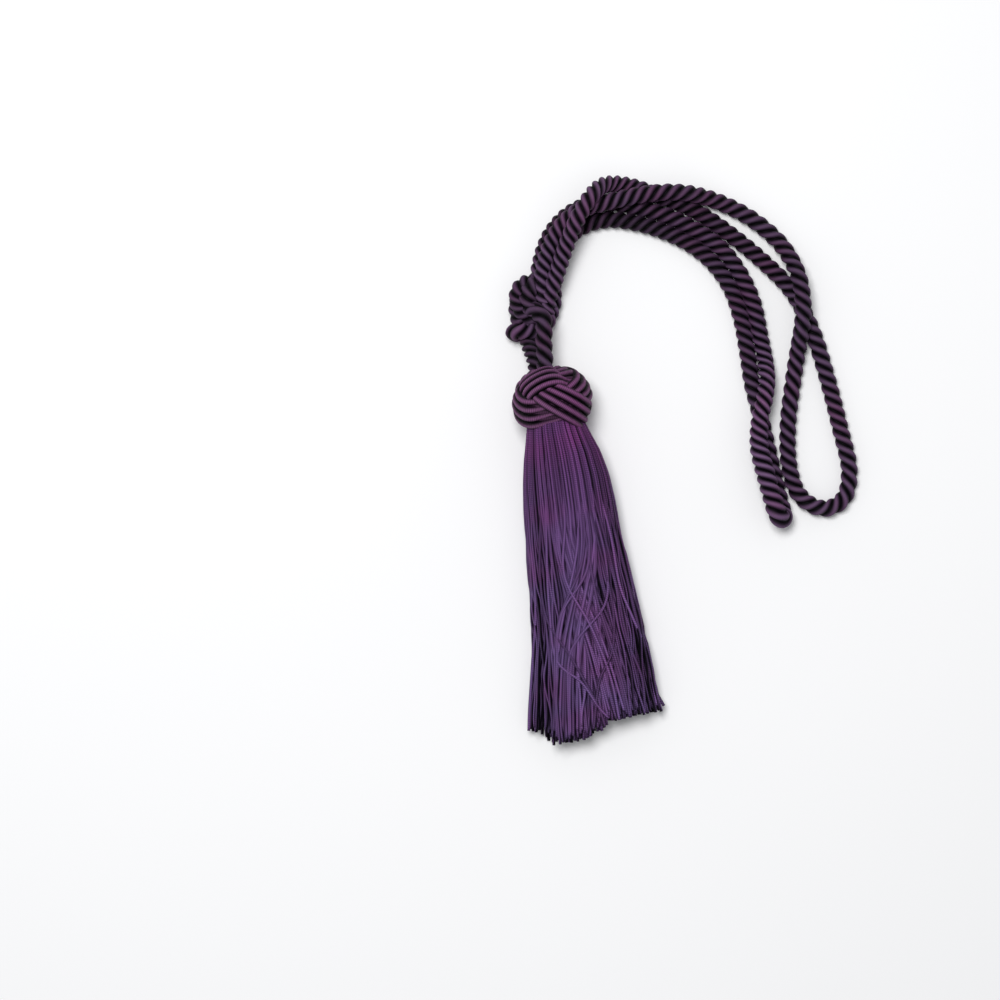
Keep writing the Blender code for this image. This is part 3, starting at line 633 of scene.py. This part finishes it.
def gimp_lines():
    """Middles of the band's cords. The band's latitude is a cosine of the angle round the head,
    and each cord is moved off it by its place in the band, measured square to the band. Its
    height is a squared-off sine that is high over one crossing and low under the next."""
    around = np.linspace(0.0, TURN * WEAVE_LEADS, GIMP_STATIONS, endpoint=False)[None, :]
    rate = WEAVE_BIGHTS / WEAVE_LEADS
    phase = rate * (around - WEAVE_STRETCH * np.sin(around - WEAVE_STRETCHED_AT)) + WEAVE_PHASE
    quickness = rate * (1.0 - WEAVE_STRETCH * np.cos(around - WEAVE_STRETCHED_AT))
    slope = -WEAVE_SWING * quickness * np.sin(phase)
    offset = GIMP_SPACING * (np.arange(GIMP_CORDS) - (GIMP_CORDS - 1) / 2)[:, None] / BAND_RADIUS
    lean = offset * np.sqrt(1.0 + (slope / math.cos(WEAVE_MIDDLE)) ** 2)
    latitude = WEAVE_MIDDLE + WEAVE_LEAN * np.sin(around) + WEAVE_SWING * np.cos(phase) + lean
    crossing = phase - quickness * lean * np.sin(phase) / (BAND_TOGETHER * rate * WEAVE_SWING)
    wave = np.tanh(-BAND_SQUARENESS * np.sin(2 * crossing)) / math.tanh(BAND_SQUARENESS)
    return on_head(around, latitude, BAND_RADIUS + BAND_RISE * wave)


def closed_cords(lines, shade, radius, sides):
    """Round tubes, each closed on itself, with a first side that faces away from the head's
    middle, and none of them lower than the surface."""
    tangents = unit(np.roll(lines, -1, axis=1) - np.roll(lines, 1, axis=1))
    middle = place([0.0, 0.0, HEAD_HEIGHT])
    rings = round_rings(lines, tangents, unit(lines - middle), radius, sides)
    rings[..., 2] = np.maximum(rings[..., 2], 0.0)
    across = np.linspace(0.0, 1.0, sides + 1)
    return tube_part(rings, across, shifted_lengths(lines), shade, closed=True)


def make_head_cords(material):
    """The gimped cords of the turk's head's band."""
    lines = gimp_lines()
    part = closed_cords(lines, np.ones(lines.shape[:2]), GIMP_RADIUS, GIMP_SIDES)
    make_piece("head_cords", part, material, ["head"])


def make_head_core(material):
    """The cords wound round under the band: each is a circle of the head's section, closed on itself, and
    they lie so close that nothing shows between them. The first few swell beside the neck, on the right, to
    fill the space under the band. They are drawn nearly full beside the neck, where they show, and
    elsewhere darkened with painted shade, for the shadow under the band."""
    latitude = np.linspace(CORE_TOP, CORE_FOOT, CORE_TURNS)[:, None]
    around = np.linspace(0.0, TURN, CORE_STATIONS, endpoint=False)[None, :]
    away = ramp(latitude, CORE_SHADE_FROM, CORE_SHADE_TO)
    swell = CORE_SWELL * (1.0 - away) * np.clip(np.sin(around), 0.0, 1.0)
    lines = on_head(around, latitude, CORE_RADIUS + swell)
    # painted shade: darker away from the neck, where the cords lie under the band
    at_neck, elsewhere = CORE_PAINTED_SHADE
    shade = np.broadcast_to(at_neck + (elsewhere - at_neck) * away, lines.shape[:2])
    part = closed_cords(lines, shade, CORE_CORD_RADIUS, CORE_SIDES)
    make_piece("head_core", part, material, ["head"])


# -------------------- skirt

OUTLINE_STATIONS = np.linspace(SKIRT_SECTIONS[0, 0], SKIRT_SECTIONS[-1, 0], OUTLINE_ROWS)


def section_at(along):
    """Left edge, right edge, top, middle and bottom of the skirt's section, and its boxiness."""
    left, right, top, bottom, boxiness = [
        np.interp(along, SKIRT_SECTIONS[:, 0], SKIRT_SECTIONS[:, column]) for column in range(1, 6)]
    middle = bottom + (SECTION_SHARE + SECTION_RAISE * boxiness) * (top - bottom)
    return left, right, top, middle, bottom, boxiness


def outline_table():
    """Across and height of the skirt's outline at even shares of its length, from below, for
    each outline station. It is round above and boxed below, where its sine and cosine are
    raised to a power under one. The last two columns are the section's middle."""
    table = []
    share = np.linspace(0.0, 1.0, OUTLINE_SHARES + 1)
    angle = np.linspace(-math.pi / 2, 1.5 * math.pi, 2 * OUTLINE_SHARES + 1)
    sine = np.sin(angle)
    cosine = np.cos(angle)
    for along in OUTLINE_STATIONS:
        left, right, top, middle, bottom, boxiness = section_at(along)
        power = np.where(sine < 0, boxiness, 1.0)
        depth = np.where(sine < 0, middle - bottom, top - middle)
        across = (left + right) / 2 + np.sign(cosine) * np.abs(cosine) ** power * (right - left) / 2
        height = middle + np.sign(sine) * np.abs(sine) ** power * depth
        run = run_length(np.stack([across, height], axis=-1))
        at = share * run[-1]
        rows = [np.interp(at, run, across), np.interp(at, run, height)]
        table.append(np.stack(rows + [0 * at + (left + right) / 2, 0 * at + middle], axis=-1))
    return np.array(table)


OUTLINE = outline_table()


def outline_at(share, along):
    """Across and height of the outline, and of the section's middle, at any share and distance
    along: the four rows of the table round it, each weighted by how near it is."""
    s = np.mod(share, 1.0) * OUTLINE_SHARES
    span = OUTLINE_STATIONS[1] - OUTLINE_STATIONS[0]
    a = np.clip((along - OUTLINE_STATIONS[0]) / span, 0.0, OUTLINE_ROWS - 1 - HAIR)
    s, a = np.broadcast_arrays(s, a)
    s0 = np.minimum(s.astype(int), OUTLINE_SHARES - 1)
    a0 = a.astype(int)
    ws = (s - s0)[..., None]
    wa = (a - a0)[..., None]
    near = OUTLINE[a0, s0] * (1 - ws) + OUTLINE[a0, s0 + 1] * ws
    far = OUTLINE[a0 + 1, s0] * (1 - ws) + OUTLINE[a0 + 1, s0 + 1] * ws
    return np.moveaxis(near * (1 - wa) + far * wa, -1, 0)


def cut_at(across):
    """Length of the cords that end at a place across the axis."""
    return np.interp(across, SKIRT_ENDS[:, 0], SKIRT_ENDS[:, 1])


def skirt_lines(layers, scatter, stations):
    """Middles of the cords of some layers, cords by stations by 3, with the way out of the skirt
    at each, and each cord's shade. A cord keeps its share of the outline and its layer. Below
    the head it wanders, in waves of its own and with a drift across its neighbours, which they
    share in part, and its end splays. Near the outline's edge it is held back."""
    share = np.concatenate([(np.arange(count) + 0.5) / count for _, count in layers])
    ring = np.concatenate([np.full(count, depth) for depth, count in layers])[:, None]
    spacing = np.concatenate([np.full(count, 1.0 / count) for _, count in layers])
    total = len(share)
    share = (share + spacing * scatter.uniform(-PLACE_SCATTER, PLACE_SCATTER, total))[:, None]
    edge, _, middle, _ = outline_at(share, SKIRT_SECTIONS[-1, 0])
    end = cut_at(middle + ring * (edge - middle))
    end = end + scatter.uniform(-SKIRT_RAGGED, SKIRT_RAGGED, (total, 1))
    along = SKIRT_ROOT + (end - SKIRT_ROOT) * np.linspace(0.0, 1.0, stations)[None, :]
    loose = ramp(along, *LOOSE_STRETCH)

    def waves():
        """Sum of two sines of random length and phase, for each cord."""
        whole = 0.0
        for part in WAVE_PARTS:
            length = part * scatter.uniform(*WAVE_LENGTHS, (total, 1))
            phase = scatter.uniform(0.0, 1.0, (total, 1))
            whole = whole + part * np.sin(TURN * (along / length + phase))
        return whole

    group = sum(
        np.sin(TURN * count * share + phase + layer_phase * ring)
        for count, phase, layer_phase in GROUP_WAVES)
    drift = scatter.normal(0.0, DRIFT_SPREAD, (total, 1)) + GROUP_DRIFT * group
    sway = loose * (WAVE_HEIGHT * waves() + drift * ramp(along, *DRIFT_STRETCH))
    depth = ring + WAVE_DEPTH * loose * waves()
    edge, edge_height, middle, middle_height = outline_at(share, along)
    splay = ramp(along, end - SPLAY_LENGTH, end)
    sway = sway + splay * scatter.normal(0.0, SPLAY_ACROSS, (total, 1))
    side = edge - middle
    halves = np.abs(OUTLINE[:, :, 0] - OUTLINE[:, :, 2]).max(axis=1)
    half = np.interp(along, OUTLINE_STATIONS, halves)
    room = np.clip(1.0 - np.abs(depth * side) / half, 0.0, 1.0)
    held_back = sway * np.minimum(1.0, EDGE_SWAY + EDGE_RELEASE * room)
    sway = np.where(sway * side > 0, held_back, sway)
    across = middle + np.clip(depth * side + sway, -half - EDGE_PLAY, half + EDGE_PLAY)
    height = middle_height + depth * (edge_height - middle_height)
    height = height + splay * scatter.normal(0.0, SPLAY_HEIGHT, (total, 1))
    height = np.maximum(height, SKIRT_CORD_RADIUS)
    lines = from_tassel(along, across, height)
    out = from_tassel(along, 2 * across - middle, 2 * height - middle_height) - lines
    return lines, out, cord_shades(scatter, total, stations)


def cord_shades(scatter, total, stations):
    """How pale each cord is, the same all along it but darker where it is cut."""
    shade = scatter.uniform(*CORD_SHADES, (total, 1)) * np.ones((1, stations))
    shade[:, -1] = CUT_SHADE
    return shade


def fan_routes():
    """Rises and routes of the cords of the fans. Their places across run evenly from the fan's
    first to its last, with a little scatter, and each crosses a little sooner or later."""
    scatter = np.random.default_rng(SEED + 1)
    root, start, stop = FAN_STATIONS
    routes = []
    for count, lift, *places in FANS:
        for share in (np.arange(count) + scatter.uniform(*FAN_SCATTER, count)) / count:
            across = [first + share * (last - first) for first, last in places]
            end = cut_at(across[-1]) - scatter.uniform(0.0, FAN_RAGGED)
            later = scatter.uniform(0.0, FAN_LATER)
            along = (root, start + later, stop + later, end)
            routes.append((lift, tuple(zip(along, across))))
    return routes


def crossing_lines(scatter, stations):
    """Middles of the cords that cross over the others, along listed routes and in fans, with up as their
    way out, and their shades. Their height is that of the round upper side of the outline, times a share
    that rises over a stretch."""
    lines = []
    for lift, route in [(CROSSING_LIFT, route) for route in CROSSING_CORDS] + fan_routes():
        curve = smooth_curve(np.column_stack([route, np.zeros(len(route))]), CROSSING_STEP)
        at = np.linspace(0, len(curve) - 1, stations)
        along, across = (np.interp(at, np.arange(len(curve)), curve[:, axis]) for axis in range(2))
        left, right, top, middle, *_ = section_at(along)
        sideways = np.clip((2 * across - left - right) / (right - left), -1.0, 1.0)
        rise = CROSSING_LOW + lift * ramp(along, *CROSSING_STRETCH)
        height = middle + rise * np.sqrt(1.0 - sideways ** 2) * (top - middle)
        lines.append(from_tassel(along, across, height))
    lines = np.array(lines)
    return lines, np.broadcast_to(UP, lines.shape), cord_shades(scatter, len(lines), stations)


def cord_tubes(lines, out, shade, sides):
    """Round tubes along many lines at once, each with a first side that faces out."""
    tangents = unit(np.gradient(lines, axis=1))
    rings = round_rings(lines, tangents, out + OUTWARD_HINT * UP, SKIRT_CORD_RADIUS, sides)
    return tube_part(rings, np.linspace(0.0, 1.0, sides + 1), shifted_lengths(lines), shade)


def make_skirt(material):
    """The skirt's cords: the outer layers in one piece, the inner ones in another, and the cords
    that cross over them in a third."""
    scatter = np.random.default_rng(SEED)
    outer = skirt_lines(SKIRT_LAYERS[:OUTER_LAYERS], scatter, OUTER_MESH[0])
    inner = skirt_lines(SKIRT_LAYERS[OUTER_LAYERS:], scatter, INNER_MESH[0])
    crossing = crossing_lines(scatter, CROSSING_MESH[0])
    for name, cords, sides in (
            ("skirt_outer_cords", outer, OUTER_MESH[1]),
            ("skirt_inner_cords", inner, INNER_MESH[1]),
            ("skirt_crossing_cords", crossing, CROSSING_MESH[1])):
        make_piece(name, cord_tubes(*cords, sides), material, ["skirt"])


# -------------------- finishes

def feed(tree, node, inputs):
    """Give each named input its value, or a link to it where that is a socket."""
    for key, value in inputs.items():
        if isinstance(value, bpy.types.NodeSocket):
            tree.links.new(value, node.inputs[key])
        else:
            node.inputs[key].default_value = value


def add_node(tree, kind, inputs=None, **settings):
    """A node with its settings and its inputs."""
    node = tree.nodes.new(kind)
    for key, value in settings.items():
        setattr(node, key, value)
    feed(tree, node, inputs or {})
    return node


def calc(tree, operation, first, second=0.0, third=0.0):
    """Output of a Math node."""
    node = add_node(tree, "ShaderNodeMath", {0: first, 1: second, 2: third}, operation=operation)
    return node.outputs[0]


def mixed(tree, factor, first, second):
    """Colour output of a Mix node, whose two colours are its sockets 6 and 7."""
    inputs = {0: factor, 6: first, 7: second}
    return add_node(tree, "ShaderNodeMix", inputs, data_type="RGBA").outputs[2]


def share_of(tree, value, start, end):
    """Output of a Map Range node: nought at start, one at end, and even between."""
    return add_node(tree, "ShaderNodeMapRange", {"Value": value, 1: start, 2: end}).outputs[0]


def fixed_noise(tree, scale, detail):
    """Output of a Noise node that is fixed to the piece."""
    where = add_node(tree, "ShaderNodeTexCoord").outputs["Object"]
    inputs = {"Vector": where, "Scale": scale, "Detail": detail}
    return add_node(tree, "ShaderNodeTexNoise", inputs).outputs["Fac"]


def new_material(name):
    """A material and its Principled shader."""
    material = bpy.data.materials.new(name)
    material.use_nodes = True
    return material, material.node_tree.nodes["Principled BSDF"]


def new_group(name, inputs, outputs):
    """An empty shader group with its sockets, each a name and a type."""
    group = bpy.data.node_groups.new(name, "ShaderNodeTree")
    for label, kind in inputs:
        group.interface.new_socket(name=label, in_out="INPUT", socket_type=kind)
    for label, kind in outputs:
        group.interface.new_socket(name=label, in_out="OUTPUT", socket_type=kind)
    return group, group.nodes.new("NodeGroupInput"), group.nodes.new("NodeGroupOutput")


def thread_lines_group():
    """Fine threads on a cord: a sine of the place round the cord and the length along it."""
    group, given, result = new_group(
        "thread_lines",
        [(name, "NodeSocketFloat") for name in ("Around", "Along", "Count", "Rate")],
        [("Lines", "NodeSocketFloat")])
    round_part = calc(group, "MULTIPLY", given.outputs["Around"], given.outputs["Count"])
    phase = calc(group, "MULTIPLY_ADD", given.outputs["Along"], given.outputs["Rate"], round_part)
    wave = calc(group, "SINE", calc(group, "MULTIPLY", phase, TURN))
    group.links.new(calc(group, "MULTIPLY_ADD", wave, 0.5, 0.5), result.inputs["Lines"])
    return group


def dyed_yarn_group():
    """Colour of dyed viscose: a near-black painted shade in the grooves and on a cord's inner side, turning
    to the dye on the crowns, with soft patches of a redder dye, and the whole times each cord's shade,
    which makes one cord a little lighter or darker than the next and also carries painted shade and light
    along a rope."""
    group, given, result = new_group(
        "dyed_yarn",
        [("Painted_shade", "NodeSocketColor"), ("Dye", "NodeSocketColor"), ("Patch", "NodeSocketColor"),
         ("Crown", "NodeSocketFloat"), ("Lines", "NodeSocketFloat"), ("Contrast", "NodeSocketFloat"),
         ("Shade", "NodeSocketFloat")],
        [("Color", "NodeSocketColor")])
    patches = share_of(group, fixed_noise(group, *PATCH_NOISE), *PATCH_RANGE)
    dye = mixed(group, patches, given.outputs["Dye"], given.outputs["Patch"])
    # painted shade: the crown mask turns the dye to the near-black of the grooves and of a cord's inner
    # side
    lit = mixed(group, given.outputs["Crown"], given.outputs["Painted_shade"], dye)
    off = calc(group, "SUBTRACT", given.outputs["Lines"], THREAD_EVEN)
    lines = calc(group, "MULTIPLY_ADD", off, given.outputs["Contrast"], 1.0)
    strength = calc(group, "MULTIPLY", lines, given.outputs["Shade"])
    scaled = add_node(group, "ShaderNodeVectorMath", {0: lit, "Scale": strength}, operation="SCALE")
    group.links.new(scaled.outputs[0], result.inputs["Color"])
    return group


def cord_material(name, groups, look):
    """Finish of one kind of cord, from the place round it and the length along it."""
    material, shader = new_material(name)
    tree = material.node_tree
    lay = add_node(tree, "ShaderNodeUVMap", uv_map="lay").outputs["UV"]
    lay = add_node(tree, "ShaderNodeSeparateXYZ", {0: lay})
    around = calc(tree, "FRACT", lay.outputs[0])
    along = lay.outputs[1]
    # Crown mask for painted shade: one on the middle of each ply, or on the side of a cord that faces out,
    # and nought in the grooves and on the side that faces in.
    if look["crown"] == "ply":
        bulge = calc(tree, "SINE", calc(tree, "MULTIPLY", around, math.pi))
    else:
        wave = calc(tree, "COSINE", calc(tree, "MULTIPLY", around, TURN))
        bulge = calc(tree, "MULTIPLY_ADD", wave, 0.5, 0.5)
    crown = calc(tree, "POWER", share_of(tree, bulge, look["crown_start"], 1.0), look["peak"])
    inputs = {"Around": around, "Along": along, "Count": look["count"], "Rate": look["rate"]}
    lines = add_node(tree, "ShaderNodeGroup", inputs, node_tree=groups["lines"]).outputs[0]
    shade = add_node(tree, "ShaderNodeAttribute", attribute_name="shade").outputs["Fac"]
    inputs = {"Crown": crown, "Lines": lines, "Shade": shade, "Contrast": THREAD_CONTRAST}
    for label in ("Painted_shade", "Dye", "Patch"):
        inputs[label] = (*look[label.lower()], 1.0)
    if "far_range" in look:
        far = share_of(tree, along, *look["far_range"])
        for label in ("Dye", "Patch"):
            inputs[label] = mixed(tree, far, inputs[label], (*look["far_" + label.lower()], 1.0))
    colour = add_node(tree, "ShaderNodeGroup", inputs, node_tree=groups["yarn"]).outputs[0]
    height = calc(tree, "MULTIPLY_ADD", fixed_noise(tree, *FUZZ_NOISE), FUZZ_HEIGHT, lines)
    inputs = {"Height": height, "Strength": look["bump"], "Distance": look["thread"] * MM}
    feed(tree, shader, {
        "Base Color": colour,
        "Normal": add_node(tree, "ShaderNodeBump", inputs).outputs[0],
        "Roughness": calc(tree, "MULTIPLY_ADD", lines, THREAD_ROUGHNESS, ROUGHNESS),
        "Specular IOR Level": GLOSS,
        "Sheen Weight": SHEEN,
        "Sheen Roughness": SHEEN_ROUGHNESS,
        "Sheen Tint": (*look["sheen_tint"], 1.0),
    })
    return material


# -------------------- stage

def make_floor():
    """A pale plain floor under the tassel."""
    material, shader = new_material("pale_floor")
    feed(material.node_tree, shader, {
        "Base Color": FLOOR_COLOUR, "Roughness": FLOOR_ROUGHNESS, "Specular IOR Level": FLOOR_GLOSS})
    corners = [(x * FLOOR_HALF, y * FLOOR_HALF, 0.0) for x, y in ((-1, -1), (1, -1), (1, 1), (-1, 1))]
    mesh = bpy.data.meshes.new("floor")
    mesh.from_pydata(corners, [], [(0, 1, 2, 3)])
    mesh.materials.append(material)
    floor = new_object("floor", mesh)


def make_key():
    """A soft square lamp that shines at the middle of the part."""
    lamp = bpy.data.lights.new("key", "AREA")
    lamp.energy = KEY_POWER
    lamp.size = KEY_SIZE
    thing = new_object("key", lamp)
    thing.location = KEY_PLACE
    thing.rotation_euler = (-Vector(KEY_PLACE)).to_track_quat("-Z", "Y").to_euler()


def make_world():
    """Even pale light from all round."""
    world = bpy.data.worlds.new("studio")
    world.use_nodes = True
    background = world.node_tree.nodes["Background"]
    feed(world.node_tree, background, {"Color": WORLD_COLOUR, "Strength": WORLD_STRENGTH})
    bpy.context.scene.world = world


def make_camera():
    """Camera straight above, with the photograph's frame on the surface."""
    middle = PHOTO_PIXELS / 2
    x = HEAD_X + (middle - HEAD_PIXEL[0]) * PIXEL_SIZE
    y = HEAD_Y + (HEAD_PIXEL[1] - middle) * PIXEL_SIZE
    data = bpy.data.cameras.new("camera")
    data.sensor_width = SENSOR_WIDTH
    data.lens = SENSOR_WIDTH * CAMERA_HEIGHT / (PHOTO_PIXELS * PIXEL_SIZE)
    camera = new_object("camera", data)
    camera.location = (x * MM, y * MM, CAMERA_HEIGHT * MM)
    bpy.context.scene.camera = camera


def build():
    """Make the camera, the pieces, and then the stage."""
    make_camera()
    groups = {"lines": thread_lines_group(), "yarn": dyed_yarn_group()}
    make_ropes(cord_material("rope_yarn", groups, ROPE_LOOK))
    gimp = cord_material("head_gimp", groups, HEAD_LOOK)
    make_head_cords(gimp)
    make_head_core(gimp)
    make_skirt(cord_material("skirt_yarn", groups, SKIRT_LOOK))
    make_floor()
    make_key()
    make_world()
    bpy.context.scene.view_settings.view_transform = "Standard"


build()
